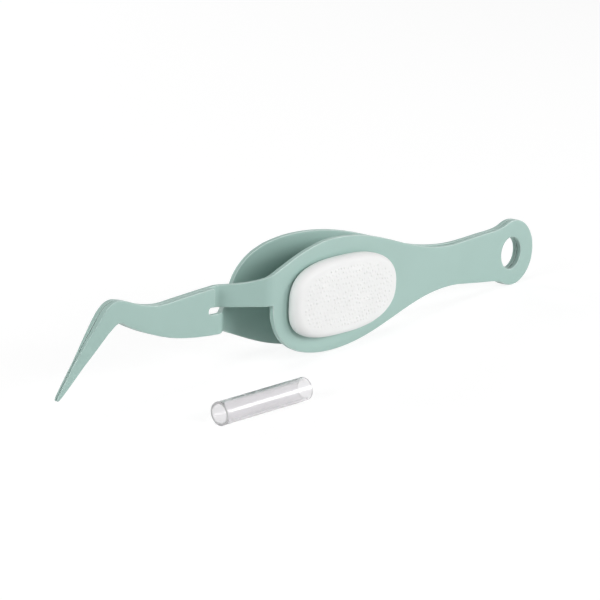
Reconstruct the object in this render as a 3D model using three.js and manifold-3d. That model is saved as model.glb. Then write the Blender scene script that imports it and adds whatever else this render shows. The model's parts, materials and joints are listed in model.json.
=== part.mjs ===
// Reverse tweezers: two spring-steel arms welded at the heel, which spread into ovals with grip pads,
// cross at half-height necks and meet as a pair of closed blades with a tapered, bent-down tip.
// The clear tube that guards the tips lies beside them.
// Millimetres, +Z up. X runs from the tips to the heel, Y from the front arm to the back arm.

import * as THREE from 'three';
import { mergeVertices } from 'three/addons/utils/BufferGeometryUtils.js';
import Module from 'manifold-3d';

// Sheet
const PLATE = 1.1; // finished thickness of the coated sheet
const HEEL_GAP = 0.1; // between the two arms at the heel, filled by the welds
const BLADE_GAP = 0.1; // between the closed blades

// Heel and handle, in the flat blank: distances from the hanging hole towards the tip
const HEEL_RADIUS = 7.48;
const HEEL_SHIFT = 0.9; // the heel's centre lies this far behind the hole
const HOLE_RADIUS = 3.65;
const ROOT_START = 2.2; // where the heel's round flows into the handle
const ROOT_END = 9.5;
const ROOT_HALF = 5.6; // half height of the handle next to the heel
const ROOT_FLOW = 2.5; // reach of the curves on both sides of that place
const WAIST_AT = 24;
const WAIST_HALF = 4.6;
const HANDLE_FLOW = 5.8; // reach of the curve between root and waist

// Oval
const OVAL_AT = 67;
const OVAL_HALF = 11.97;
const OVAL_LENGTH = 21.3; // from the oval's widest place to its tip-side end
const OVAL_SQUARENESS = 0.63; // reach of the quarter curve's handles; 0.55 is an ellipse
const FLARE_WAIST = 15; // reach of the curve from the waist to the oval
const FLARE_OVAL = 17;

// Neck: half the height of the blade, one above and one below the middle
const NECK_TOP = 5.25;
const NECK_EDGE = 0.5; // from the middle to the neck's inner edge
const NECK_FLOW_OVAL = 13; // reaches of the curve from the oval to the neck
const NECK_FLOW = 8;
const NECK_LEVEL = 0.7; // share of the neck's straight length at which its outer edge turns level

// Plan of an arm
const SPREAD_AT = 17; // where the arms start to part
const SPREAD_ANGLE = THREE.MathUtils.degToRad(4.22);
const SPREAD_RADIUS = 136;
const FOLD_BEYOND = 1.1; // from the oval's end to the fold into the neck
const NECK_ANGLE = THREE.MathUtils.degToRad(37);
const FOLD_RADIUS = 2.4; // inside radius of both folds

// Blade: distances from the fold at its root towards the tip, and heights
const FREE_END = 1.7; // end of the half that has no neck
const FREE_EDGE = 0.95; // from the middle to that half's inner edge
const FREE_CORNER = 0.5;
const SLOT_END = 3.4; // round end of the relief slot between the halves
const BLADE_TOP = [[0, 5.05], [6.4, 4.5], [12.4, 3.93], [17.5, 3.52], [22.6, 4.24], [26.6, 5.45]];
const BLADE_BOTTOM = [[0, -4.85], [7.6, -4.45], [14.6, -3.45], [21.5, -1.47], [26, 0.3]];
const CREST = [29.2, 5.95]; // top of the bend
const CREST_FLOW = 1.9;
const SHOULDER = [33.7, 3.3]; // where the bend's outside turns straight
const ARMPIT = [28.9, 1.52]; // inside corner of the bend
const ARMPIT_END = [31.8, -0.3];
const POINT_OUTER = [44.3, -10.95];
const POINT_INNER = [43.85, -11.6];
const POINT_ROUND = 0.45;
const TIP_BULGE = 0.2; // rise of the tip's edges from a straight line

// Ground tip
const TIP_PLATE = 0.38; // thickness at the points
const TAPER_START = 17; // distances back from the points
const TAPER_END = 8;

// Slit that stands for the flexing of each arm, where the arms start to part
const FLEX_CLEARANCE = 0.3;

// Grip pads
const PAD_OFF_CENTRE = 1.3; // the pad's middle lies this far from the oval's widest place, heel side
const PAD_LENGTH = 36.3;
const PAD_HEIGHT = 16.5;
const PAD_TIP_SQUARENESS = 2.9; // exponents of the superellipse on the tip side and the heel side
const PAD_HEEL_SQUARENESS = 2.5;
const PAD_WALL = 0.9; // straight part of the pad's side
const PAD_ROUND = 1.6; // rounding of the pad's edge
const PAD_CROWN = 0.3; // rise from the rounding to the middle
const CROWN_RINGS = [0.75, 0.45]; // shares of the pad's top at which the crown is drawn
const FILM = 0.2; // adhesive film
const FILM_INSET = 1;
const FILM_CLEARANCE = 0.05;

// Welds, one on each side of the hanging hole
const WELD_RADIUS = 1.4;
const WELD_FROM_HOLE = 3.2; // from the hole's edge to the weld on the tip side

// Tip tube, lying on the table
const TUBE_RADIUS = 2.36;
const TUBE_WALL = 0.42;
const TUBE_LENGTH = 23;
const TUBE_X = -121; // its tip-side end, from the hanging hole
const TUBE_Y = -21.5;
const TUBE_TURN = THREE.MathUtils.degToRad(-3.9);

// Smoothness
const CURVE_STEPS = 9;
const SPLINE_STEPS = 3;
const BULGE_STEPS = 4;
const FOLD_STEPS = 5;
const PAD_SIDES = 48;
const PAD_ROUND_STEPS = 4;
const TUBE_SIDES = 32;
const WELD_SIDES = 16;
const SAME_POINT = 1e-6; // distances taken as none
const ON_SCORE = 1e-4;

const wasm = await Module();
wasm.setup();

const coating = new THREE.MeshStandardMaterial({ color: 0xaec8bf, roughness: 0.55, metalness: 0.1 });
const padRubber = new THREE.MeshStandardMaterial({ color: 0xf0f0ef, roughness: 0.6, metalness: 0 });
const filmClear = new THREE.MeshStandardMaterial({ color: 0xe4e2dc, roughness: 0.4, metalness: 0 });
const weldSteel = new THREE.MeshStandardMaterial({ color: 0x9a9c9e, roughness: 0.5, metalness: 1 });
const tubePlastic = new THREE.MeshStandardMaterial({
  color: 0xf4f4f6, roughness: 0.08, metalness: 0, transparent: true, opacity: 0.35,
});

function v2([x, y]) {
  return new THREE.Vector2(x, y);
}

function bezier(a, b, c, d) {
  return new THREE.CubicBezierCurve(v2(a), v2(b), v2(c), v2(d)).getPoints(CURVE_STEPS);
}

// Adds a curve's points to an edge, leaving out a first point that repeats the edge's last one.
function extend(edge, points) {
  const last = edge.at(-1);
  const repeats = last && last.distanceTo(points[0]) < SAME_POINT;
  edge.push(...points.slice(repeats ? 1 : 0));
}

// Plan of an arm, seen from above: its pad-side face runs through these corners with round bends.
// u is the distance from the hole along the blank, x falls towards the tip, y is positive outwards
// on the arm's own side of the middle.
function armPlan() {
  const heelY = HEEL_GAP / 2 + PLATE;
  const foldX = OVAL_END + FOLD_BEYOND;
  const foldY = heelY + Math.tan(SPREAD_ANGLE) * (foldX - SPREAD_AT);
  const bladeY = -BLADE_GAP / 2;
  const crossX = foldX + (foldY - bladeY) / Math.tan(NECK_ANGLE);
  const corners = [
    { at: [SPREAD_AT, heelY], radius: SPREAD_RADIUS, turn: SPREAD_ANGLE },
    { at: [foldX, foldY], radius: FOLD_RADIUS + PLATE, turn: -(SPREAD_ANGLE + NECK_ANGLE) },
    { at: [crossX, bladeY], radius: FOLD_RADIUS, turn: NECK_ANGLE },
  ];
  const pieces = [];
  let start = v2([0, heelY]);
  let heading = 0;
  let u = 0;
  for (const corner of corners) {
    const tangent = corner.radius * Math.tan(Math.abs(corner.turn) / 2);
    const straight = start.distanceTo(v2(corner.at)) - tangent;
    pieces.push({ u, start: start.clone(), heading, turn: 0, length: straight });
    u += straight;
    start = start.clone().add(new THREE.Vector2(straight, 0).rotateAround(new THREE.Vector2(), heading));
    const length = corner.radius * Math.abs(corner.turn);
    pieces.push({ u, start: start.clone(), heading, turn: corner.turn, length, tangent });
    u += length;
    heading += corner.turn;
    const leave = new THREE.Vector2(tangent, 0).rotateAround(new THREE.Vector2(), heading);
    start = v2(corner.at).add(leave);
  }
  pieces.push({ u, start, heading: 0, turn: 0, length: Infinity });
  return pieces;
}

const OVAL_END = OVAL_AT + OVAL_LENGTH;
const plan = armPlan();
const [, spreadBend, , ovalFold, , bladeFold, bladeRun] = plan;
const BLADE_ROOT = bladeRun.u - bladeFold.tangent; // blade distances start at the fold's corner

// Point of the bent sheet at distance u along the blank and depth w from its pad-side face.
function bend(u, w) {
  const piece = plan.findLast((candidate) => u >= candidate.u) ?? plan[0];
  const run = u - piece.u;
  const angle = piece.turn ? piece.heading + (piece.turn * run) / piece.length : piece.heading;
  const point = piece.start.clone();
  if (piece.turn) {
    const radius = piece.length / piece.turn;
    point.x += radius * (Math.sin(angle) - Math.sin(piece.heading));
    point.y += radius * (Math.cos(piece.heading) - Math.cos(angle));
  } else {
    point.x += run * Math.cos(angle);
    point.y += run * Math.sin(angle);
  }
  return new THREE.Vector2(point.x + w * Math.sin(angle), point.y - w * Math.cos(angle));
}

// Direction from the bend to the points.
const tipWay = v2(POINT_OUTER).sub(v2(SHOULDER)).normalize();

// Half outline of the heel, handle and flare, the same above and below the middle.
function heelToOval() {
  const edge = [];
  const reach = ROOT_START + HEEL_SHIFT;
  const rootAngle = Math.acos(reach / HEEL_RADIUS);
  const heel = new THREE.EllipseCurve(
    -HEEL_SHIFT, 0, HEEL_RADIUS, HEEL_RADIUS, Math.PI, rootAngle, true,
  );
  extend(edge, heel.getPoints(2 * CURVE_STEPS));
  const rootTop = HEEL_RADIUS * Math.sin(rootAngle);
  const flow = [
    ROOT_START + ROOT_FLOW * Math.sin(rootAngle),
    rootTop - ROOT_FLOW * Math.cos(rootAngle),
  ];
  const slope = (ROOT_HALF - WAIST_HALF) / (WAIST_AT - ROOT_END);
  extend(edge, bezier(
    [ROOT_START, rootTop], flow,
    [ROOT_END - ROOT_FLOW, ROOT_HALF + slope * ROOT_FLOW], [ROOT_END, ROOT_HALF],
  ));
  extend(edge, bezier(
    [ROOT_END, ROOT_HALF], [ROOT_END + HANDLE_FLOW, ROOT_HALF - slope * HANDLE_FLOW],
    [WAIST_AT - HANDLE_FLOW, WAIST_HALF], [WAIST_AT, WAIST_HALF],
  ));
  extend(edge, bezier(
    [WAIST_AT, WAIST_HALF], [WAIST_AT + FLARE_WAIST, WAIST_HALF],
    [OVAL_AT - FLARE_OVAL, OVAL_HALF], [OVAL_AT, OVAL_HALF],
  ));
  return edge;
}

// Half outline on the neck's side: the oval flows into the neck.
function ovalToNeck() {
  const neckEnd = THREE.MathUtils.lerp(ovalFold.u + ovalFold.length, bladeFold.u, NECK_LEVEL);
  return bezier(
    [OVAL_AT, OVAL_HALF], [OVAL_AT + NECK_FLOW_OVAL, OVAL_HALF],
    [neckEnd - NECK_FLOW, NECK_TOP], [neckEnd, NECK_TOP],
  );
}

// Half outline on the open side: the oval's round end, the neck's inner edge, the relief slot and
// the free end of the blade's other half, whose height there is rootHeight.
function ovalToFreeEnd(rootHeight) {
  const reach = OVAL_LENGTH * OVAL_SQUARENESS;
  const rise = OVAL_HALF * OVAL_SQUARENESS;
  const edge = bezier([OVAL_AT, OVAL_HALF], [OVAL_AT + reach, OVAL_HALF], [OVAL_END, rise], [OVAL_END, 0]);
  const freeEnd = BLADE_ROOT + FREE_END;
  extend(edge, [v2([OVAL_END, -NECK_EDGE])]);
  const slotRadius = (FREE_EDGE + NECK_EDGE) / 2;
  const slotMiddle = (FREE_EDGE - NECK_EDGE) / 2;
  const slot = new THREE.EllipseCurve(
    BLADE_ROOT + SLOT_END - slotRadius, slotMiddle, slotRadius, slotRadius, -Math.PI / 2, Math.PI / 2,
  );
  extend(edge, slot.getPoints(CURVE_STEPS));
  extend(edge, [v2([freeEnd, FREE_EDGE]), v2([freeEnd, rootHeight - FREE_CORNER])]);
  extend(edge, [v2([freeEnd + FREE_CORNER, rootHeight])]);
  return edge;
}

// A shallow curve that stands off the straight line from a to b by rise, to its left.
function bulged([ax, az], [bx, bz], rise) {
  const run = Math.hypot(bx - ax, bz - az);
  const control = [
    (ax + bx) / 2 - (2 * rise * (bz - az)) / run,
    (az + bz) / 2 + (2 * rise * (bx - ax)) / run,
  ];
  return new THREE.QuadraticBezierCurve(v2([ax, az]), v2(control), v2([bx, bz])).getPoints(BULGE_STEPS);
}

// Height of a blade edge at a distance from its root, between two of its listed points.
function bladeHeight(points, distance) {
  const index = Math.max(points.findIndex(([x]) => x > distance), 1);
  const [x0, z0] = points[index - 1];
  const [x1, z1] = points[index];
  return z0 + ((z1 - z0) * (distance - x0)) / (x1 - x0);
}

// From a distance along the blade to the distance along the whole blank.
function onBlank([x, z]) {
  return [BLADE_ROOT + x, z];
}

// A smooth curve through blade points. Without a neck it starts at the free end's corner.
function bladeCurve(points, withNeck) {
  const kept = points.filter(([x]) => withNeck || x > FREE_END + FREE_CORNER);
  const curve = new THREE.SplineCurve(kept.map(onBlank).map(v2));
  return curve.getPoints((kept.length - 1) * SPLINE_STEPS);
}

function bladeTop(withNeck) {
  const flow = v2(SHOULDER).addScaledVector(tipWay, -CREST_FLOW).toArray();
  const round = [CREST, [CREST[0] + CREST_FLOW, CREST[1]], flow, SHOULDER];
  const edge = bladeCurve([...BLADE_TOP, CREST], withNeck);
  extend(edge, bezier(...round.map(onBlank)));
  extend(edge, bulged(onBlank(SHOULDER), onBlank(POINT_OUTER), TIP_BULGE));
  return edge;
}

function bladeBottom(withNeck) {
  const edge = bladeCurve([...BLADE_BOTTOM, ARMPIT, ARMPIT_END], withNeck);
  extend(edge, bulged(onBlank(ARMPIT_END), onBlank(POINT_INNER), -TIP_BULGE));
  return edge;
}

// The flat blank of one arm. neckSide is 1 where the neck is the upper half and -1 for the lower.
function blank(neckSide) {
  const flip = (point) => new THREE.Vector2(point.x, -point.y);
  const upper = heelToOval();
  const lower = heelToOval().map(flip);
  const rootPlace = FREE_END + FREE_CORNER;
  if (neckSide > 0) {
    extend(upper, ovalToNeck());
    extend(lower, ovalToFreeEnd(-bladeHeight(BLADE_BOTTOM, rootPlace)).map(flip));
  } else {
    extend(upper, ovalToFreeEnd(bladeHeight(BLADE_TOP, rootPlace)));
    extend(lower, ovalToNeck().map(flip));
  }
  extend(upper, bladeTop(neckSide > 0));
  extend(lower, bladeBottom(neckSide < 0));
  const end = v2(POINT_OUTER).lerp(v2(POINT_INNER), 0.5).addScaledVector(tipWay, POINT_ROUND);
  end.x += BLADE_ROOT;
  const shape = new THREE.Shape([...lower, end, ...upper.reverse().slice(0, -1)]);
  const hole = new THREE.Path();
  hole.absarc(0, 0, HOLE_RADIUS, 0, 2 * Math.PI, true);
  shape.holes.push(hole);
  return shape;
}

// Scores a list of triangles along the line a·x + b·y = c, so that the sheet can bend there.
function score(triangles, [a, b, c]) {
  const scored = [];
  const side = (p) => {
    const distance = a * p.x + b * p.y - c;
    return Math.abs(distance) < ON_SCORE ? 0 : distance;
  };
  for (const triangle of triangles) {
    for (const sign of [-1, 1]) {
      const polygon = [];
      triangle.forEach((p, i) => {
        const q = triangle[(i + 1) % 3];
        const [sp, sq] = [side(p), side(q)];
        if (sign * sp >= 0) polygon.push(p);
        if (sp * sq < 0) {
          const [low, high] = sp < 0 ? [p, q] : [q, p];
          const share = side(low) / (side(low) - side(high));
          polygon.push(low.clone().lerp(high, share));
        }
      });
      const beyond = triangle.some((p) => sign * side(p) > 0);
      if (!beyond) continue;
      for (let i = 2; i < polygon.length; i += 1) scored.push([polygon[0], polygon[i - 1], polygon[i]]);
    }
  }
  return scored;
}

function trianglesOf(geometry) {
  const flat = geometry.index ? geometry.toNonIndexed() : geometry;
  const position = flat.getAttribute('position');
  const triangles = [];
  for (let i = 0; i < position.count; i += 3) {
    triangles.push([0, 1, 2].map((k) => new THREE.Vector3().fromBufferAttribute(position, i + k)));
  }
  return triangles;
}

function closedGeometry(triangles) {
  const geometry = new THREE.BufferGeometry();
  const values = triangles.flat().flatMap((p) => [p.x, p.y, p.z]);
  geometry.setAttribute('position', new THREE.Float32BufferAttribute(values, 3));
  return mergeVertices(geometry);
}

function toSolid(geometry) {
  const plain = geometry.clone();
  plain.deleteAttribute('normal');
  plain.deleteAttribute('uv');
  const merged = mergeVertices(plain);
  return new wasm.Manifold(new wasm.Mesh({
    numProp: 3,
    vertProperties: new Float32Array(merged.getAttribute('position').array),
    triVerts: new Uint32Array(merged.index.array),
  }));
}

function fromSolid(solid) {
  const mesh = solid.getMesh();
  const geometry = new THREE.BufferGeometry();
  geometry.setAttribute('position', new THREE.BufferAttribute(new Float32Array(mesh.vertProperties), 3));
  geometry.setIndex(new THREE.BufferAttribute(new Uint32Array(mesh.triVerts), 1));
  geometry.computeVertexNormals();
  return geometry;
}

// Thickness of the sheet at a place on the blank: the tip is ground thin towards the points.
function thickness(place) {
  const points = v2(onBlank(POINT_OUTER));
  const back = tipWay.dot(points) - tipWay.dot(place);
  const share = THREE.MathUtils.clamp((TAPER_START - back) / (TAPER_START - TAPER_END), 0, 1);
  return THREE.MathUtils.lerp(PLATE, TIP_PLATE, share);
}

// Both parts of one arm, cut apart where the arm flexes. side is -1 for the front arm, whose neck is
// the upper half, and 1 for the back arm.
function armParts(side) {
  const sheet = new THREE.ExtrudeGeometry(blank(-side), {
    depth: 1, bevelEnabled: false, curveSegments: 2 * CURVE_STEPS,
  });
  let triangles = trianglesOf(sheet);
  for (const piece of [spreadBend, ovalFold, bladeFold]) {
    for (let step = 0; step <= FOLD_STEPS; step += 1) {
      triangles = score(triangles, [1, 0, piece.u + (piece.length * step) / FOLD_STEPS]);
    }
  }
  const points = v2(onBlank(POINT_OUTER));
  for (const back of [TAPER_START, TAPER_END]) {
    triangles = score(triangles, [tipWay.x, tipWay.y, tipWay.dot(points) - back]);
  }
  const bent = triangles.map((triangle) => triangle.map((p) => {
    const place = bend(p.x, p.z * thickness(p));
    return new THREE.Vector3(-place.x, side * place.y, p.y);
  }));
  const outward = side > 0 ? bent.map(([p, q, r]) => [p, r, q]) : bent;
  const arm = toSolid(closedGeometry(outward));
  const size = 4 * BLADE_ROOT;
  const centre = (size + FLEX_CLEARANCE) / 2;
  const block = (x) => toSolid(new THREE.BoxGeometry(size, size, size).translate(x, 0, 0));
  const heel = arm.intersect(block(centre - SPREAD_AT));
  const flexing = arm.intersect(block(-centre - SPREAD_AT));
  return [fromSolid(heel), fromSolid(flexing)];
}

// Closed solid from rings of points with the same count, capped by a middle point at each end.
function ringSolid(rings, first, last) {
  const triangles = [];
  const count = rings[0].length;
  for (let i = 0; i < count; i += 1) {
    const j = (i + 1) % count;
    triangles.push([first, rings[0][j], rings[0][i]]);
    triangles.push([last, rings.at(-1)[i], rings.at(-1)[j]]);
    for (let k = 1; k < rings.length; k += 1) {
      const [low, high] = [rings[k - 1], rings[k]];
      triangles.push([low[i], low[j], high[j]], [low[i], high[j], high[i]]);
    }
  }
  return closedGeometry(triangles);
}

function superellipse(length, height, z) {
  return Array.from({ length: PAD_SIDES }, (_, i) => {
    const angle = (2 * Math.PI * i) / PAD_SIDES;
    const power = 2 / (Math.cos(angle) > 0 ? PAD_TIP_SQUARENESS : PAD_HEEL_SQUARENESS);
    const wave = (value) => Math.sign(value) * Math.abs(value) ** power;
    return new THREE.Vector3((length / 2) * wave(Math.cos(angle)), (height / 2) * wave(Math.sin(angle)), z);
  });
}

// A crowned slab from z = 0: a straight wall, a rounded edge and a gentle rise to the middle.
function padGeometry() {
  const rings = [superellipse(PAD_LENGTH, PAD_HEIGHT, 0)];
  for (let step = 0; step <= PAD_ROUND_STEPS; step += 1) {
    const angle = (Math.PI / 2) * (step / PAD_ROUND_STEPS);
    const inset = 2 * PAD_ROUND * (1 - Math.cos(angle));
    rings.push(superellipse(PAD_LENGTH - inset, PAD_HEIGHT - inset, PAD_WALL + PAD_ROUND * Math.sin(angle)));
  }
  const crownStart = PAD_WALL + PAD_ROUND;
  for (const share of CROWN_RINGS) {
    const length = (PAD_LENGTH - 2 * PAD_ROUND) * share;
    const height = (PAD_HEIGHT - 2 * PAD_ROUND) * share;
    rings.push(superellipse(length, height, crownStart + PAD_CROWN * (1 - share ** 2)));
  }
  return ringSolid(rings, new THREE.Vector3(0, 0, 0), new THREE.Vector3(0, 0, crownStart + PAD_CROWN));
}

function filmGeometry() {
  const length = PAD_LENGTH - 2 * FILM_INSET;
  const height = PAD_HEIGHT - 2 * FILM_INSET;
  const rings = [superellipse(length, height, 0), superellipse(length, height, FILM)];
  return ringSolid(rings, new THREE.Vector3(0, 0, 0), new THREE.Vector3(0, 0, FILM));
}

// Stands a geometry that rises along z on the outside of an arm's oval, a little clear of it.
function onOval(geometry, side, clearance) {
  const seat = bend(OVAL_AT - PAD_OFF_CENTRE, -clearance);
  const [tangent, outward] = [v2([1, 0]), v2([0, 1])];
  for (const way of [tangent, outward]) way.rotateAround(v2([0, 0]), SPREAD_ANGLE);
  const position = geometry.getAttribute('position');
  for (let i = 0; i < position.count; i += 1) {
    const [along, up, out] = [position.getX(i), position.getY(i), position.getZ(i)];
    const place = seat.clone().addScaledVector(tangent, along).addScaledVector(outward, out);
    position.setXYZ(i, -place.x, side * place.y, up);
  }
  if (side < 0) {
    const index = geometry.index.array;
    for (let i = 0; i < index.length; i += 3) [index[i], index[i + 1]] = [index[i + 1], index[i]];
  }
  geometry.computeVertexNormals();
  return geometry;
}

function weldGeometry(at) {
  const disc = new THREE.CylinderGeometry(WELD_RADIUS, WELD_RADIUS, HEEL_GAP, WELD_SIDES);
  return disc.translate(-at, 0, 0);
}

function tubeGeometry() {
  const inner = TUBE_RADIUS - TUBE_WALL;
  const [start, end] = [0, TUBE_LENGTH];
  const profile = [[inner, start], [TUBE_RADIUS, start], [TUBE_RADIUS, end], [inner, end], [inner, start]];
  return new THREE.LatheGeometry(profile.map(v2), TUBE_SIDES).rotateZ(-Math.PI / 2);
}

function named(name, geometry, material) {
  const mesh = new THREE.Mesh(geometry, material);
  mesh.name = name;
  return mesh;
}

// The tweezers rest on the ovals and the heel. The tilt is that of the line that touches both.
function restTilt() {
  let tilt = 0;
  for (const point of heelToOval().filter((p) => p.x > WAIST_AT)) {
    const run = bend(point.x, 0).x + HEEL_SHIFT;
    const reach = Math.hypot(run, point.y);
    tilt = Math.max(tilt, Math.atan2(point.y, run) - Math.asin(HEEL_RADIUS / reach));
  }
  return tilt;
}

const weldBeforeHole = HOLE_RADIUS + WELD_FROM_HOLE;
const weldBehindHole = -(HOLE_RADIUS + HEEL_SHIFT + HEEL_RADIUS) / 2;

const tweezers = new THREE.Group();
const [frontHeel, frontArm] = armParts(-1);
const [backHeel, backArm] = armParts(1);
tweezers.add(
  named('front_heel', frontHeel, coating),
  named('back_heel', backHeel, coating),
  named('front_arm', frontArm, coating),
  named('back_arm', backArm, coating),
  named('weld_before_hole', weldGeometry(weldBeforeHole), weldSteel),
  named('weld_behind_hole', weldGeometry(weldBehindHole), weldSteel),
);
for (const [name, side] of [['front', -1], ['back', 1]]) {
  tweezers.add(named(`${name}_pad_film`, onOval(filmGeometry(), side, FILM_CLEARANCE), filmClear));
  const padClearance = 2 * FILM_CLEARANCE + FILM;
  tweezers.add(named(`${name}_pad`, onOval(padGeometry(), side, padClearance), padRubber));
}
const tilt = restTilt();
tweezers.rotation.y = tilt;
const table = -HEEL_RADIUS - HEEL_SHIFT * Math.sin(tilt);

const tube = named('tip_tube', tubeGeometry(), tubePlastic);
tube.position.set(TUBE_X, TUBE_Y, table + TUBE_RADIUS);
tube.rotation.z = TUBE_TURN;

// The origin is under the middle of the whole box, on the table.
const group = new THREE.Group();
group.add(tweezers, tube);
group.updateMatrixWorld(true);
const box = new THREE.Box3().setFromObject(group, true);
const middle = box.getCenter(new THREE.Vector3());
group.position.set(-middle.x, -middle.y, -box.min.z);

export default group;
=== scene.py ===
# Reverse tweezers: coated sheet arms, grip pads, welds and the clear tube that guards the tips.
# The arms are modelled in the sheet's own frame: origin in the hanging hole, X towards the heel,
# Y through the plates and Z across them. The part's frame sees it tipped a little.

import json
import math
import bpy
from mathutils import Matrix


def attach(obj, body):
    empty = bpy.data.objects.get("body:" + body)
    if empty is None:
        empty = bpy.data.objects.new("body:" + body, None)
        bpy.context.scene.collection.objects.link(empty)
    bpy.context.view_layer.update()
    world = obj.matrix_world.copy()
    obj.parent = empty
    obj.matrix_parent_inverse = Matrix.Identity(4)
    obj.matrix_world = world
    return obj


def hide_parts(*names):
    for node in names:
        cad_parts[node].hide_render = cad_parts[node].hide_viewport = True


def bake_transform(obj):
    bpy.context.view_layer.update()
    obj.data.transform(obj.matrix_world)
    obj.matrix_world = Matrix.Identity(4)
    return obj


bl_info = {
    "name": "Reverse tweezers",
    "version": (1, 0, 0),
    "blender": (4, 5, 0),
    "location": "3D View > Sidebar > Tweezers",
    "description": "Models self-closing craft tweezers with oval grip pads and a tip tube",
    "category": "Add Mesh",
}

import bmesh
import bpy
import numpy as np
from bpy.props import FloatProperty, FloatVectorProperty, PointerProperty
from mathutils import Matrix, Vector

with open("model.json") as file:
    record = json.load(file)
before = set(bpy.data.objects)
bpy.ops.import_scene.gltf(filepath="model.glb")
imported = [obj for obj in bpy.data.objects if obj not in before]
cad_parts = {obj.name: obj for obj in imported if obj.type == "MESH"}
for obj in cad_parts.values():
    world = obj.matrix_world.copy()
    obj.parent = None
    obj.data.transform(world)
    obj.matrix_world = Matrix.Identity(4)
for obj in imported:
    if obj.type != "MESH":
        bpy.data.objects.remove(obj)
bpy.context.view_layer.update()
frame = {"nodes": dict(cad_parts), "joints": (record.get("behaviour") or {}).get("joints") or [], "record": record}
MM = 0.001

# Places from the frame
JOINTS = {joint["name"]: joint for joint in frame["joints"]}
OPENINGS = {opening["name"]: opening for opening in frame["record"]["physics"]["openings"]}
HOLE_BOX = [Vector(corner) for corner in OPENINGS["hanging_hole"]["box_m"]]
HOLE = (HOLE_BOX[0] + HOLE_BOX[1]) / 2
FLEX_AXIS = Vector(JOINTS["back_arm_flex"]["axis"])
SHEET_TILT = math.atan2(FLEX_AXIS.x, FLEX_AXIS.z)
SHEET_FRAME = Matrix.Translation(HOLE) @ Matrix.Rotation(SHEET_TILT, 4, "Y")

# The photograph's camera, from the hanging hole
CAMERA_FROM_HOLE = Vector((-484.228, -350.965, 147.920)) * MM
TARGET_FROM_HOLE = Vector((-72.349, -0.107, 3.510)) * MM
FOCAL_PIXELS = 2715.5
PHOTO_PIXELS = 600
SENSOR_WIDTH = 36.0
CLIP_START = 10 * MM

# Meshes
KINDS = {"VERT": "verts", "EDGE": "edges", "FACE": "faces"}  # what each select mode picks
SAME_POINT = 0.025 * MM  # points of a copied solid that lie this close are one
FLAT_ANGLE = math.radians(0.2)
EDGE_ANGLE = math.radians(38)
SHADE_ANGLE = math.radians(55)

# Arms, in the sheet's frame
SLIT_AT = -17 * MM
BRIDGE_REACH = 1.5 * MM  # no cuts are made this close to the slit
STRIP = 0.25 * MM  # least distance between two cuts across the sheet
ON_STATION = 0.01 * MM  # points this close to a cut count as on it
NEAR_STATION = 0.03 * MM  # edges this close to a cut belong to it
NEAR_POINT = 0.04 * MM  # points of the cut sheet that lie this close are one
SHEET_LIMIT = 1.4 * MM  # longest edge that can run through the sheet
PLATE_FACING = 0.7  # share of the sheet frame's Y in a flat side's normal
SQUARE = math.cos(math.radians(6))
STRAIGHT = math.cos(math.radians(3))
POINT_AT = -135.3 * MM
GROUND_LENGTH = 14 * MM
POINT_EDGE = 0.35  # share of the edge rounding left at the points
EDGE_SEGMENTS = 2
SKIN_LEVELS = 2
HEEL_REACH = 5 * MM  # flat sheet all round the hole
RIM_REACH = 0.95  # share of the rim's rounding that is made round
# The rounded edges carry a highlight painted in white on the coating.
EDGE_HIGHLIGHT = "pale_edge"  # attribute that marks the rounded edges
EDGE_TURN = math.radians(7)
EDGE_FACING = (0.17, 0.985)  # share of the sheet frame's Y in a rounded edge's normal

# Pads, seen square on: half of the outline faces the tips and half the heel
TIP_SQUARENESS = 2.9  # exponents of the superellipse on each half
HEEL_SQUARENESS = 2.5
PAD_ROUND = 1.6 * MM
PAD_CROWN = 0.3 * MM
PAD_FOOT = 0.4 * MM  # rounding at the bottom edge
FOOT_MIDDLE = 0.3  # share of the foot at the middle of its rounding
PAD_LEVEL = 0.999  # how nearly a face looks along the pad's base to count as level
ROUND_STEPS = 8
WALL_STEPS = 3
PAD_GRID = (288, 120)
DOTS_REACH = 0.95  # share of the pad's top that carries dots
DOTS_FADE = 0.02  # share of the top over which the last dots sink
DOT_SHAPE = 1.5  # exponent of a dot's dome
DOT_STRAY = 0.45  # how far dots stand from their places, as a share of their pitch
DOT_UNEVEN = 0.7  # how much lower the lowest dots are than the highest
SCATTER_COLUMN = 12.9898
SCATTER_ROW = 78.233
SCATTER_SCALE = 43758.5453
TINY = 1e-9  # keeps the middle of the pad from being divided by zero

# Tube
TUBE_SIDES = 96
TUBE_CUTS = 24
RIM_SEGMENTS = 3
CUT_END = "cut_end"  # attribute that marks the cut ends
FROSTED = 0.45  # clearness of the cut ends

# Finishes: scales of their noise, and the tones it runs between
COATING_CLOUDS = 55.0
COATING_PEEL = 2600.0
COATING_SHEEN = 900.0
COATING_TONES = (0.985, 1.015)
SHEEN_SPREAD = 0.04  # how far the roughness strays from its middle
RUBBER_CLOUDS = 120.0
RUBBER_POWDER = 3200.0
RUBBER_TONES = (0.985, 1.01)
FILM_GRAIN = 1500.0
FILM_COLORS = ((0.72, 0.71, 0.67, 1), (0.8, 0.79, 0.76, 1))
STEEL_HEAT = 700.0
STEEL_COLORS = ((0.33, 0.31, 0.29, 1), (0.55, 0.55, 0.56, 1))
TUBE_LINES = 400.0
TUBE_TONES = (0.99, 1.0)
TONES_FROM = 0.3  # the noise is spread between these two values
TONES_TO = 0.7

# Stage, in metres
LAMP_SIZE = 0.4
LAMP_TARGET = Vector((0, 0, 0.01))
LAMPS = {
    "key_light": Vector((0.6, -0.6, 0.2)),
    "front_light": Vector((0, -0.8, 0.35)),
    "tip_light": Vector((-0.8, 0, 0.35)),
    "top_light": Vector((0, 0, 0.85)),
    "back_light": Vector((0.1, 0.8, 0.3)),
}
WHITE = (1, 1, 1, 1)
SHADOW_SHARE = 0.28  # how much of the paper's own light and shadow the camera sees


# Materials


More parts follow.
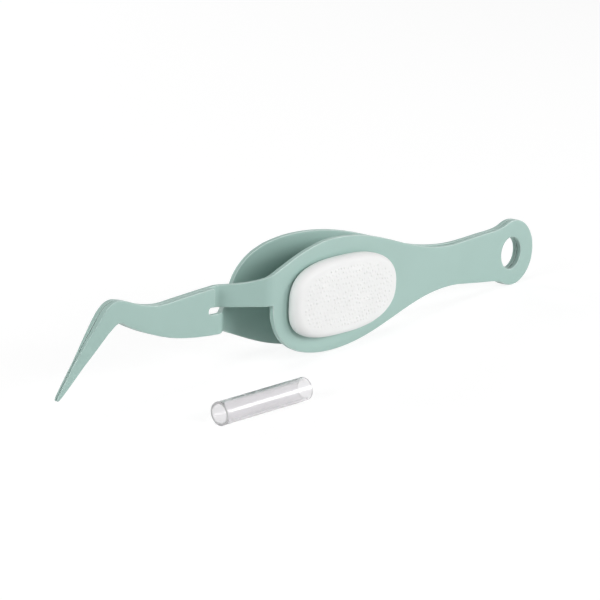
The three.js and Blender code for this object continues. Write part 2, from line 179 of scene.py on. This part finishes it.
class NodeTree:
    """The nodes of a new material or world, and short calls that add to them."""

    def __init__(self, name, kind="materials"):
        self.owner = getattr(bpy.data, kind).new(name)
        self.owner.use_nodes = True
        self.tree = self.owner.node_tree
        self.tree.nodes.clear()

    def add(self, kind, values=None, **settings):
        node = self.tree.nodes.new(kind)
        for name, value in settings.items():
            setattr(node, name, value)
        for name, value in (values or {}).items():
            self.put(node.inputs[name], value)
        return node

    def put(self, socket, value):
        if isinstance(value, bpy.types.NodeSocket):
            self.tree.links.new(value, socket)
        else:
            socket.default_value = value

    def finish(self, shader, output="ShaderNodeOutputMaterial"):
        self.add(output, {"Surface": shader})
        return self.owner

    def noise(self, scale, detail=2.0):
        """Noise in the object's own coordinates."""
        place = self.add("ShaderNodeTexCoord").outputs["Object"]
        noise = self.add("ShaderNodeTexNoise", {"Vector": place, "Scale": scale, "Detail": detail})
        return noise.outputs["Fac"]

    def bump(self, height, strength, distance):
        values = {"Height": height, "Strength": strength, "Distance": distance}
        return self.add("ShaderNodeBump", values).outputs["Normal"]

    def tint(self, factor, colors):
        """A colour between two, by a factor."""
        ramp = self.add("ShaderNodeValToRGB", {"Fac": factor})
        for element, place, color in zip(ramp.color_ramp.elements, (TONES_FROM, TONES_TO), colors):
            element.position = place
            element.color = color
        return ramp.outputs["Color"]

    def spread(self, factor, low, high):
        """A number between two, by a factor."""
        values = {"Value": factor, "To Min": low, "To Max": high}
        return self.add("ShaderNodeMapRange", values).outputs["Result"]


def shade_of(color, share):
    return [channel * share for channel in color] + [1.0]


def shades_of(color, shares):
    return [shade_of(color, share) for share in shares]


def coating_material(sizes):
    """Matte mint coating: slightly cloudy, with a highlight painted in white on its rounded edges, and a fine
    orange peel.
    """
    nodes = NodeTree("mint_coating")
    cloudy = nodes.noise(COATING_CLOUDS)
    peel = nodes.noise(COATING_PEEL)
    sheen = nodes.noise(COATING_SHEEN)
    # Painted highlight: the faces of the rounded edges are mixed towards white.
    edge = nodes.add("ShaderNodeAttribute", attribute_name=EDGE_HIGHLIGHT).outputs["Fac"]
    color = nodes.add("ShaderNodeMixRGB", {
        "Fac": nodes.spread(edge, 0, sizes.highlight_share),
        "Color1": nodes.tint(cloudy, shades_of(sizes.color, COATING_TONES)),
        "Color2": WHITE,
    })
    rough = sizes.roughness
    shader = nodes.add("ShaderNodeBsdfPrincipled", {
        "Base Color": color.outputs["Color"],
        "Roughness": nodes.spread(sheen, rough - SHEEN_SPREAD, rough + SHEEN_SPREAD),
        "Specular IOR Level": 0.45,
        "Normal": nodes.bump(peel, strength=0.35, distance=0.02 * MM),
    })
    return nodes.finish(shader.outputs["BSDF"])


def pad_material(sizes):
    """White firm rubber with a powdery surface."""
    nodes = NodeTree("white_rubber")
    powder = nodes.noise(RUBBER_POWDER)
    cloudy = nodes.noise(RUBBER_CLOUDS)
    shader = nodes.add("ShaderNodeBsdfPrincipled", {
        "Base Color": nodes.tint(cloudy, shades_of(sizes.color, RUBBER_TONES)),
        "Roughness": nodes.spread(powder, low=0.5, high=0.62),
        "Specular IOR Level": 0.4,
        "Normal": nodes.bump(powder, strength=0.3, distance=0.01 * MM),
    })
    return nodes.finish(shader.outputs["BSDF"])


def film_material():
    """Adhesive film, milky and finely grainy."""
    nodes = NodeTree("adhesive_film")
    grain = nodes.noise(FILM_GRAIN)
    shader = nodes.add("ShaderNodeBsdfPrincipled", {
        "Base Color": nodes.tint(grain, FILM_COLORS),
        "Roughness": nodes.spread(grain, low=0.3, high=0.45),
    })
    return nodes.finish(shader.outputs["BSDF"])


def weld_material():
    """Fused steel, dulled and tinted by the heat."""
    nodes = NodeTree("fused_steel")
    heat = nodes.noise(STEEL_HEAT, detail=4.0)
    shader = nodes.add("ShaderNodeBsdfPrincipled", {
        "Base Color": nodes.tint(heat, STEEL_COLORS),
        "Metallic": 1.0,
        "Roughness": nodes.spread(heat, low=0.35, high=0.6),
        "Normal": nodes.bump(heat, strength=0.4, distance=0.03 * MM),
    })
    return nodes.finish(shader.outputs["BSDF"])


def tube_material(sizes):
    """Clear soft plastic with a faint tint, frosted where its ends are cut."""
    nodes = NodeTree("clear_plastic")
    lines = nodes.noise(TUBE_LINES)
    cut_end = nodes.add("ShaderNodeAttribute", attribute_name=CUT_END).outputs["Fac"]
    shader = nodes.add("ShaderNodeBsdfPrincipled", {
        "Base Color": nodes.tint(lines, shades_of(sizes.color, TUBE_TONES)),
        "Roughness": nodes.spread(lines, low=0.13, high=0.18),
        "IOR": 1.42,
        "Transmission Weight": nodes.spread(cut_end, sizes.clearness, FROSTED),
    })
    return nodes.finish(shader.outputs["BSDF"])


def seen_plainly(nodes):
    """One for rays of the camera, of gloss and through clear plastic, otherwise zero."""
    path = nodes.add("ShaderNodeLightPath")
    seen = path.outputs["Is Camera Ray"]
    for ray in ("Is Glossy Ray", "Is Transmission Ray"):
        values = {0: seen, 1: path.outputs[ray]}
        seen = nodes.add("ShaderNodeMath", values, operation="MAXIMUM").outputs[0]
    return seen


def floor_material(sizes):
    """White paper that shows as white to the camera and in clear plastic, and keeps its shadows."""
    nodes = NodeTree("studio_paper")
    paper = nodes.add("ShaderNodeBsdfDiffuse", {"Color": (*sizes.floor_color, 1.0)})
    shadow = nodes.add("ShaderNodeBsdfDiffuse", {"Color": shade_of(sizes.floor_color, SHADOW_SHARE)})
    white = nodes.add("ShaderNodeEmission", {"Color": WHITE, "Strength": sizes.floor_white})
    shown = nodes.add("ShaderNodeAddShader", {0: shadow.outputs[0], 1: white.outputs[0]})
    mix = nodes.add("ShaderNodeMixShader", {0: seen_plainly(nodes), 1: paper.outputs[0],
                                            2: shown.outputs[0]})
    return nodes.finish(mix.outputs[0])


# Modelling helpers


def only(obj):
    """Selects this object alone and makes it the active one."""
    if bpy.context.mode != "OBJECT":
        bpy.ops.object.mode_set(mode="OBJECT")
    bpy.ops.object.select_all(action="DESELECT")
    obj.select_set(True)
    bpy.context.view_layer.objects.active = obj


def new_object(name, data):
    obj = bpy.data.objects.new(name, data)
    bpy.context.scene.collection.objects.link(obj)
    return obj


def edit(obj):
    only(obj)
    bpy.ops.object.mode_set(mode="EDIT")


def done():
    bpy.ops.object.mode_set(mode="OBJECT")


def on_all(operator, **settings):
    """Runs an operator on the whole mesh in edit mode."""
    bpy.ops.mesh.select_all(action="SELECT")
    operator(**settings)


def pick(obj, kind, test):
    """Selects only the vertices, edges or faces of a mesh in edit mode that pass a test."""
    bpy.ops.mesh.select_mode(type=kind)
    bpy.ops.mesh.select_all(action="DESELECT")
    shape = bmesh.from_edit_mesh(obj.data)
    for element in filter(test, getattr(shape, KINDS[kind])):
        element.select_set(True)
    shape.select_flush_mode()
    bmesh.update_edit_mesh(obj.data)


def copied(name, nodes, place):
    """One object from copies of CAD nodes, merged, cleared of split normals and in its own frame."""
    parts = []
    for node in nodes:
        part = new_object(name, frame["nodes"][node].data.copy())
        part.data.materials.clear()
        part.data.transform(place.inverted())
        parts.append(part)
    only(parts[0])
    for part in parts:
        part.select_set(True)
    bpy.ops.object.join()
    obj = bpy.context.view_layer.objects.active
    obj.name = name
    edit(obj)
    on_all(bpy.ops.mesh.remove_doubles, threshold=SAME_POINT)
    bpy.ops.mesh.customdata_custom_splitnormals_clear()
    on_all(bpy.ops.mesh.dissolve_limited, angle_limit=FLAT_ANGLE)
    done()
    return obj


def apply_modifier(obj, kind, **settings):
    only(obj)
    modifier = obj.modifiers.new(kind.title(), kind)
    for name, value in settings.items():
        setattr(modifier, name, value)
    bpy.ops.object.modifier_apply(modifier=modifier.name)


def subdivide(obj, levels):
    apply_modifier(obj, "SUBSURF", levels=levels, render_levels=levels)


def smooth(obj):
    only(obj)
    bpy.ops.object.shade_smooth_by_angle(angle=SHADE_ANGLE)


def dress(obj, material, place):
    """Gives a finished mesh its material and slot, and puts it where its frame says."""
    obj.data.transform(place)
    obj.data.materials.append(material)


def finish_node(name, material):
    """Gives a CAD solid that stays its material and slot."""
    node = frame["nodes"][name]
    node.material_slots[0].material = material


# Arms


def on_plate(face):
    """True for a face on either flat side of the sheet."""
    return abs(face.normal.y) > PLATE_FACING


def goes_through(edge):
    """True for an edge in the sheet's narrow side that runs square through the sheet."""
    a, b = edge.verts
    across = b.co - a.co
    if across.length > SHEET_LIMIT or any(on_plate(face) for face in edge.link_faces):
        return False
    facing = Vector()
    for face in {*a.link_faces, *b.link_faces}:
        if on_plate(face):
            facing += face.normal * (1 if face.normal.y > 0 else -1)
    return abs(across.normalized().dot(facing.normalized())) > SQUARE


def outline_stations(obj):
    """Planes square to the sheet through its outline's points, as places and directions."""
    shape = bmesh.new()
    shape.from_mesh(obj.data)
    found = []
    for edge in filter(goes_through, shape.edges):
        a, b = (vertex.co for vertex in edge.verts)
        across = b - a if b.y > a.y else a - b
        found.append(((a + b) / 2, Vector((across.y, -across.x, 0)).normalized()))
    shape.free()
    found.sort(key=lambda station: station[0].x)
    stations = found[:1]
    for place, along in found:
        in_slit = abs(place.x - SLIT_AT) < BRIDGE_REACH
        if not in_slit and place.x - stations[-1][0].x > STRIP:
            stations.append((place, along))
    return stations


def cut_strips(obj, stations):
    """Cuts the sheet across at the stations and clears its other flat edges."""
    edit(obj)
    for place, along in stations[1:-1]:
        on_all(bpy.ops.mesh.bisect, plane_co=place, plane_no=along, threshold=ON_STATION)
    places = np.array([place for place, along in stations])
    ways = np.array([along for place, along in stations])

    def soft(edge):
        return edge.is_manifold and edge.calc_face_angle() < EDGE_ANGLE

    def between_stations(edge):
        away = [np.abs(((np.array(vertex.co) - places) * ways).sum(axis=1)) for vertex in edge.verts]
        on_station = np.maximum(*away).min() < NEAR_STATION
        return soft(edge) and not on_station and not goes_through(edge)

    def spare(vertex):
        if len(vertex.link_edges) != 2:
            return False
        ways = [(edge.other_vert(vertex).co - vertex.co).normalized() for edge in vertex.link_edges]
        return ways[0].dot(ways[1]) < -STRAIGHT or all(soft(edge) for edge in vertex.link_edges)

    pick(obj, "EDGE", between_stations)
    bpy.ops.mesh.dissolve_edges(use_verts=False)
    pick(obj, "VERT", spare)
    bpy.ops.mesh.dissolve_verts()
    on_all(bpy.ops.mesh.remove_doubles, threshold=NEAR_POINT)
    on_all(bpy.ops.mesh.dissolve_degenerate, threshold=NEAR_POINT)
    on_all(bpy.ops.mesh.delete_loose)
    done()


def bridge_slit(obj, stations):
    """Joins heel and arm across the slit that stands for flexing in the CAD solids."""
    low = max(place.x for place, along in stations if place.x < SLIT_AT)
    high = min(place.x for place, along in stations if place.x > SLIT_AT)
    edit(obj)
    pick(obj, "FACE", lambda face: low < face.calc_center_median().x < high)
    bpy.ops.mesh.delete(type="FACE")
    pick(obj, "EDGE", lambda edge: edge.is_boundary)
    bpy.ops.mesh.bridge_edge_loops()
    done()


def weigh_edges(obj):
    """Marks the sheet's edges for rounding, less where the tip is ground thin."""
    edit(obj)
    shape = bmesh.from_edit_mesh(obj.data)
    weight = shape.edges.layers.float.new("bevel_weight_edge")
    for edge in shape.edges:
        if edge.is_manifold and sum(on_plate(face) for face in edge.link_faces) == 1:
            from_point = (edge.verts[0].co.x + edge.verts[1].co.x) / 2 - POINT_AT
            edge[weight] = min(max(from_point / GROUND_LENGTH, POINT_EDGE), 1.0)
    bmesh.update_edit_mesh(obj.data)
    done()


def round_hole(obj, radius, rounding):
    """Brings the hole's wall and rounded rims, which run round the sheet frame's Y, to true circles."""
    near = [vertex for vertex in obj.data.vertices if math.hypot(vertex.co.x, vertex.co.z) < HEEL_REACH]
    low = min(vertex.co.y for vertex in near)
    high = max(vertex.co.y for vertex in near)
    for vertex in near:
        away = math.hypot(vertex.co.x, vertex.co.z)
        if away < radius + rounding * RIM_REACH:
            depth = min(vertex.co.y - low, high - vertex.co.y)
            into = min(max(rounding - depth, 0), rounding)
            target = radius + rounding - math.sqrt(rounding ** 2 - into ** 2)
            vertex.co.x *= target / away
            vertex.co.z *= target / away


def mark_edges(obj):
    """Marks the faces of the rounded edges, which turn away from their neighbours on two sides, for the coating's
    painted highlight.
    """
    shape = bmesh.new()
    shape.from_mesh(obj.data)
    pale = shape.faces.layers.float.new(EDGE_HIGHLIGHT)
    for face in shape.faces:
        turns = sum(edge.calc_face_angle(0) > EDGE_TURN for edge in face.edges)
        slanted = EDGE_FACING[0] < abs(face.normal.y) < EDGE_FACING[1]
        face[pale] = float(slanted and turns >= 2)
    shape.to_mesh(obj.data)
    shape.free()


def arm_skin(name, nodes, sizes):
    obj = copied(name, nodes, SHEET_FRAME)
    hole_radius = min(math.hypot(vertex.co.x, vertex.co.z) for vertex in obj.data.vertices)
    stations = outline_stations(obj)
    cut_strips(obj, stations)
    bridge_slit(obj, stations)
    weigh_edges(obj)
    apply_modifier(obj, "BEVEL", limit_method="WEIGHT", width=sizes.edge_rounding,
                   segments=EDGE_SEGMENTS, use_clamp_overlap=False)
    subdivide(obj, SKIN_LEVELS)
    round_hole(obj, hole_radius, sizes.edge_rounding)
    mark_edges(obj)
    smooth(obj)
    return obj


class TWEEZERS_OT_arms(bpy.types.Operator):
    """Models both spring arms with rounded edges and a matte coating"""

    bl_idname = "tweezers.arms"
    bl_label = "Spring Arms"

    def execute(self, context):
        sizes = context.scene.tweezers_arms
        coating = coating_material(sizes)
        for side in ("front", "back"):
            nodes = (f"{side}_heel", f"{side}_arm")
            arm = arm_skin(f"{side}_spring_arm", nodes, sizes)
            dress(arm, coating, SHEET_FRAME)
            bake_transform(arm)
            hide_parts(*nodes)
        return {"FINISHED"}


# Pads


def pad_seat(node):
    """Frame in the middle of a CAD pad's base: X to the tips, Y up the pad, Z outwards."""
    mesh = frame["nodes"][node].data
    base = max(mesh.polygons, key=lambda face: face.area)
    level = [face for face in mesh.polygons if face.normal.dot(base.normal) > PAD_LEVEL]
    bottom = max(level, key=lambda face: face.center.dot(base.normal))
    outwards = -bottom.normal
    upwards = FLEX_AXIS.normalized()
    along = upwards.cross(outwards)
    if along.x > 0:
        along = -along
    turn = Matrix((along, upwards, outwards)).transposed()
    points = np.array([turn.transposed() @ vertex.co for vertex in mesh.vertices])
    low, high = points.min(axis=0), points.max(axis=0)
    middle = Vector(((low[0] + high[0]) / 2, (low[1] + high[1]) / 2, low[2]))
    return Matrix.Translation(turn @ middle) @ turn.to_4x4()


def pad_size(node):
    """Length, height and thickness of a CAD pad."""
    to_pad = pad_seat(node).inverted()
    points = np.array([to_pad @ vertex.co for vertex in frame["nodes"][node].data.vertices])
    return np.ptp(points, axis=0)


def oval(across, upwards, half_length, half_height):
    """Places points of a square, from -1 to 1, in a superellipse that is blunter on one half."""
    reach = np.maximum(np.maximum(np.abs(across), np.abs(upwards)), TINY)
    power = np.where(across > 0, TIP_SQUARENESS, HEEL_SQUARENESS)
    sides = np.abs(across / reach) ** power + np.abs(upwards / reach) ** power
    share = np.maximum(sides, 1) ** (-1 / power)
    return half_length * across * share, half_height * upwards * share


def scatter(column, row, seed):
    """A fixed number between 0 and 1 for each dot, different for each seed."""
    return np.sin(column * SCATTER_COLUMN + row * SCATTER_ROW + seed) * SCATTER_SCALE % 1


def dots_on(x, y, share, sizes):
    """Height of the raised dots at points of the pad's top, in staggered, slightly uneven rows."""
    pitch = sizes.dot_pitch
    row_height = pitch * math.sqrt(3) / 2
    rise = np.zeros(x.shape)
    for row_step in (-1, 0, 1):
        row = np.round(y / row_height) + row_step
        shift = 0.5 * pitch * (row % 2)
        for column_step in (-1, 0, 1):
            column = np.round((x - shift) / pitch) + column_step
            dot_x = shift + pitch * (column + DOT_STRAY * (scatter(column, row, 1) - 0.5))
            dot_y = row_height * row + pitch * DOT_STRAY * (scatter(column, row, 2) - 0.5)
            away = np.hypot(x - dot_x, y - dot_y)
            dome = np.clip(1 - (away / (sizes.dot_width / 2)) ** 2, 0, 1) ** DOT_SHAPE
            rise = np.maximum(rise, dome * (1 - DOT_UNEVEN * scatter(column, row, 3)))
    return sizes.dot_height * rise * np.clip((DOTS_REACH - share) / DOTS_FADE, 0, 1)


def extrude_ring(obj, place_ring):
    """Extrudes the open edge of a mesh in edit mode and places its new vertices."""
    bpy.ops.mesh.extrude_region_move()
    shape = bmesh.from_edit_mesh(obj.data)
    for vertex in shape.verts:
        if vertex.select:
            vertex.co = place_ring(vertex.co)
    bmesh.update_edit_mesh(obj.data)


def pad_rings(crown_start):
    """Insets and heights of the rings below the pad's top: rounding, wall and foot."""
    rings = []
    for step in range(1, ROUND_STEPS + 1):
        angle = math.pi / 2 * step / ROUND_STEPS
        inset = PAD_ROUND * (1 - math.sin(angle))
        rings.append((inset, crown_start - PAD_ROUND * (1 - math.cos(angle))))
    wall = crown_start - PAD_ROUND
    for step in range(1, WALL_STEPS + 1):
        rings.append((0, PAD_FOOT + (wall - PAD_FOOT) * (1 - step / WALL_STEPS)))
    rings += [(PAD_FOOT * FOOT_MIDDLE, PAD_FOOT * FOOT_MIDDLE), (PAD_FOOT, 0)]
    return rings


def grip_pad(size, sizes):
    """A crowned pad with a rounded edge and raised dots, standing on the plane z = 0."""
    half_length, half_height, height = size[0] / 2, size[1] / 2, size[2]
    crown_start = height - PAD_CROWN
    bpy.ops.object.select_all(action="DESELECT")
    bpy.ops.mesh.primitive_grid_add(x_subdivisions=PAD_GRID[0], y_subdivisions=PAD_GRID[1], size=2)
    pad = bpy.context.view_layer.objects.active
    square = np.array([vertex.co for vertex in pad.data.vertices])
    across, upwards = square[:, 0], square[:, 1]
    x, y = oval(across, upwards, half_length - PAD_ROUND, half_height - PAD_ROUND)
    share = np.maximum(np.abs(across), np.abs(upwards))
    rise = crown_start + PAD_CROWN * (1 - share ** 2) + dots_on(x, y, share, sizes)
    pad.data.vertices.foreach_set("co", np.column_stack((x, y, rise)).ravel())

    edit(pad)
    pick(pad, "EDGE", lambda edge: edge.is_boundary)
    before = PAD_ROUND
    for inset, z in pad_rings(crown_start):
        grow_x = (half_length - inset) / (half_length - before)
        grow_y = (half_height - inset) / (half_height - before)
        extrude_ring(pad, lambda co: Vector((co.x * grow_x, co.y * grow_y, z)))
        before = inset
    bpy.ops.mesh.edge_face_add()
    on_all(bpy.ops.mesh.normals_make_consistent)
    done()
    smooth(pad)
    return pad


class TWEEZERS_OT_pads(bpy.types.Operator):
    """Models the white grip pads with their field of raised dots"""

    bl_idname = "tweezers.pads"
    bl_label = "Grip Pads"

    def execute(self, context):
        sizes = context.scene.tweezers_pads
        rubber = pad_material(sizes)
        model = grip_pad(pad_size("front_pad"), sizes)
        for side in ("front", "back"):
            seat = pad_seat(f"{side}_pad")
            pad = new_object(f"{side}_grip_pad", model.data.copy())
            dress(pad, rubber, seat)
            if seat.determinant() < 0:
                pad.data.flip_normals()
            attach(pad, f"{side}_arm")
            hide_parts(f"{side}_pad")
        bpy.data.meshes.remove(model.data)
        return {"FINISHED"}


class TWEEZERS_OT_films(bpy.types.Operator):
    """Finishes the adhesive films under the pads"""

    bl_idname = "tweezers.films"
    bl_label = "Adhesive Films"

    def execute(self, context):
        film = film_material()
        for side in ("front", "back"):
            finish_node(f"{side}_pad_film", film)
        return {"FINISHED"}


class TWEEZERS_OT_welds(bpy.types.Operator):
    """Finishes the welds that hold the heel's plates together"""

    bl_idname = "tweezers.welds"
    bl_label = "Welds"

    def execute(self, context):
        steel = weld_material()
        for name in ("weld_before_hole", "weld_behind_hole"):
            finish_node(name, steel)
        return {"FINISHED"}


def tube_line(node):
    """Middle, direction, length and radii of the CAD tube."""
    points = np.array([vertex.co for vertex in frame["nodes"][node].data.vertices])
    middle = (points.min(axis=0) + points.max(axis=0)) / 2
    axes = np.linalg.eigh(np.cov((points - middle).T))[1]
    along = Vector(axes[:, -1])
    reach = (points - middle) @ np.array(along)
    radii = np.linalg.norm(points - middle - np.outer(reach, along), axis=1)
    return Vector(middle), along, np.ptp(reach), radii.min(), radii.max()


def clear_tube(length, inner, outer, rim_rounding):
    """A tube along Z about the origin, with rounded rims and its cut ends marked."""
    bpy.ops.object.select_all(action="DESELECT")
    bpy.ops.mesh.primitive_cylinder_add(
        vertices=TUBE_SIDES, radius=outer, depth=length, end_fill_type="NOTHING",
    )
    tube = bpy.context.view_layer.objects.active
    edit(tube)
    for cut in range(1, TUBE_CUTS):
        place = (0, 0, length * (cut / TUBE_CUTS - 0.5))
        on_all(bpy.ops.mesh.bisect, plane_co=place, plane_no=(0, 0, 1))
    done()
    apply_modifier(tube, "SOLIDIFY", thickness=outer - inner, offset=-1)
    apply_modifier(tube, "BEVEL", limit_method="ANGLE", angle_limit=EDGE_ANGLE,
                   width=rim_rounding, segments=RIM_SEGMENTS)
    smooth(tube)
    cut_end = tube.data.attributes.new(CUT_END, "FLOAT", "POINT")
    flat_end = (length - rim_rounding) / 2
    for vertex, mark in zip(tube.data.vertices, cut_end.data):
        mark.value = float(abs(vertex.co.z) > flat_end)
    return tube


class TWEEZERS_OT_tip_tube(bpy.types.Operator):
    """Models the clear tube that guards the tips"""

    bl_idname = "tweezers.tip_tube"
    bl_label = "Tip Tube"

    def execute(self, context):
        sizes = context.scene.tweezers_tube
        middle, along, length, inner, outer = tube_line("tip_tube")
        tube = clear_tube(length, inner, outer, sizes.rim_rounding)
        tube.name = "clear_tip_tube"
        turn = along.to_track_quat("Z", "Y").to_matrix().to_4x4()
        dress(tube, tube_material(sizes), Matrix.Translation(middle) @ turn)
        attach(tube, "tip_tube")
        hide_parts("tip_tube")
        return {"FINISHED"}


# Stage


def aim(obj, target):
    obj.rotation_mode = "QUATERNION"
    obj.rotation_quaternion = (target - obj.location).to_track_quat("-Z", "Y")


def add_camera():
    data = bpy.data.cameras.new("photo_camera")
    camera = new_object("photo_camera", data)
    data.sensor_width = SENSOR_WIDTH
    data.lens = SENSOR_WIDTH * FOCAL_PIXELS / PHOTO_PIXELS
    data.clip_start = CLIP_START
    camera.location = HOLE + CAMERA_FROM_HOLE
    aim(camera, HOLE + TARGET_FROM_HOLE)
    bpy.context.scene.camera = camera


def add_lamp(name, place, power):
    data = bpy.data.lights.new(name, "AREA")
    data.shape = "DISK"
    data.size = LAMP_SIZE
    data.energy = power
    lamp = new_object(name, data)
    lamp.location = place
    aim(lamp, LAMP_TARGET)


def studio_world(sizes):
    """Even light from all sides that shows as white behind the floor and in gloss."""
    nodes = NodeTree("studio", "worlds")
    fill = nodes.add("ShaderNodeBackground", {"Color": WHITE, "Strength": sizes.fill_light})
    white = nodes.add("ShaderNodeBackground", {"Color": WHITE, "Strength": 1.0})
    mix = nodes.add("ShaderNodeMixShader", {0: seen_plainly(nodes), 1: fill.outputs[0],
                                            2: white.outputs[0]})
    return nodes.finish(mix.outputs[0], "ShaderNodeOutputWorld")


class TWEEZERS_OT_stage(bpy.types.Operator):
    """Adds the floor, the studio light and the photograph's camera"""

    bl_idname = "tweezers.stage"
    bl_label = "Stage"

    def execute(self, context):
        sizes = context.scene.tweezers_stage
        bpy.ops.object.select_all(action="DESELECT")
        bpy.ops.mesh.primitive_plane_add(size=sizes.floor_size)
        floor = context.view_layer.objects.active
        floor.name = "floor"
        floor.data.materials.append(floor_material(sizes))
        context.scene.world = studio_world(sizes)
        for name, place in LAMPS.items():
            add_lamp(name, place, getattr(sizes, name))
        add_camera()
        context.scene.view_settings.view_transform = "Standard"
        return {"FINISHED"}


# Settings


class ArmSettings(bpy.types.PropertyGroup):
    edge_rounding: FloatProperty(
        name="Edge Rounding", description="Radius of the coated sheet's edges",
        default=0.22 * MM, unit="LENGTH",
    )
    color: FloatVectorProperty(
        name="Coating", description="Colour of the coating",
        default=(0.378, 0.543, 0.498), subtype="COLOR", size=3,
    )
    roughness: FloatProperty(
        name="Roughness", description="Roughness of the coating",
        default=0.4, subtype="FACTOR", min=0, max=1,
    )
    # Painted highlight: share of white mixed into the coating on the rounded edges.
    highlight_share: FloatProperty(
        name="Edge Highlight", description="Share of white painted on the rounded edges as a highlight",
        default=0.25, subtype="FACTOR", min=0, max=1,
    )


class PadSettings(bpy.types.PropertyGroup):
    color: FloatVectorProperty(
        name="Rubber", description="Colour of the grip pads",
        default=(0.885, 0.885, 0.88), subtype="COLOR", size=3,
    )
    dot_pitch: FloatProperty(
        name="Dot Pitch", description="Distance between raised dots",
        default=1.15 * MM, unit="LENGTH",
    )
    dot_width: FloatProperty(
        name="Dot Width", description="Width of a raised dot", default=0.68 * MM, unit="LENGTH",
    )
    dot_height: FloatProperty(
        name="Dot Height", description="Height of a raised dot", default=0.22 * MM, unit="LENGTH",
    )


class TubeSettings(bpy.types.PropertyGroup):
    color: FloatVectorProperty(
        name="Plastic", description="Tint of the clear plastic",
        default=(0.86, 0.85, 0.865), subtype="COLOR", size=3,
    )
    clearness: FloatProperty(
        name="Clearness", description="Share of light that goes through the plastic",
        default=0.93, subtype="FACTOR", min=0, max=1,
    )
    rim_rounding: FloatProperty(
        name="Rim Rounding", description="Radius of the tube's cut rims",
        default=0.08 * MM, unit="LENGTH",
    )


class StageSettings(bpy.types.PropertyGroup):
    floor_size: FloatProperty(
        name="Floor Size", description="Width of the floor", default=6.0, unit="LENGTH",
    )
    floor_color: FloatVectorProperty(
        name="Floor", description="Colour of the floor", default=(0.9, 0.9, 0.9),
        subtype="COLOR", size=3,
    )
    floor_white: FloatProperty(
        name="Floor White", description="White that the floor shows beside its own light", default=0.84,
    )
    fill_light: FloatProperty(
        name="Fill Light", description="Strength of the light from all sides", default=0.03,
    )
    key_light: FloatProperty(
        name="Key Light", description="Power of the low lamp at the heel's end",
        default=3.2, unit="POWER",
    )
    front_light: FloatProperty(
        name="Front Light", description="Power of the lamp before the front pad",
        default=2.75, unit="POWER",
    )
    tip_light: FloatProperty(
        name="Tip Light", description="Power of the lamp at the tips' end",
        default=3.05, unit="POWER",
    )
    top_light: FloatProperty(
        name="Top Light", description="Power of the lamp above",
        default=1.2, unit="POWER",
    )
    back_light: FloatProperty(
        name="Back Light", description="Power of the lamp behind the back pad",
        default=2.6, unit="POWER",
    )


class TWEEZERS_PT_panel(bpy.types.Panel):
    """Lists the pieces and the stage"""

    bl_label = "Reverse Tweezers"
    bl_space_type = "VIEW_3D"
    bl_region_type = "UI"
    bl_category = "Tweezers"

    def draw(self, context):
        for operator in OPERATORS:
            self.layout.operator(operator.bl_idname)
        for name in SETTINGS:
            settings = getattr(context.scene, name)
            box = self.layout.box()
            for prop in settings.bl_rna.properties:
                if prop.identifier not in ("rna_type", "name"):
                    box.prop(settings, prop.identifier)


SETTINGS = {
    "tweezers_arms": ArmSettings,
    "tweezers_pads": PadSettings,
    "tweezers_tube": TubeSettings,
    "tweezers_stage": StageSettings,
}
OPERATORS = (
    TWEEZERS_OT_stage,
    TWEEZERS_OT_arms,
    TWEEZERS_OT_pads,
    TWEEZERS_OT_films,
    TWEEZERS_OT_welds,
    TWEEZERS_OT_tip_tube,
)
CLASSES = (*SETTINGS.values(), *OPERATORS, TWEEZERS_PT_panel)


def register():
    for cls in CLASSES:
        bpy.utils.register_class(cls)
    for name, settings in SETTINGS.items():
        setattr(bpy.types.Scene, name, PointerProperty(type=settings))


def unregister():
    for name in SETTINGS:
        delattr(bpy.types.Scene, name)
    for cls in reversed(CLASSES):
        bpy.utils.unregister_class(cls)


def main():
    register()
    bpy.ops.tweezers.stage()
    bpy.ops.tweezers.arms()
    bpy.ops.tweezers.pads()
    bpy.ops.tweezers.films()
    bpy.ops.tweezers.welds()
    bpy.ops.tweezers.tip_tube()


if __name__ == "__main__":
    main()
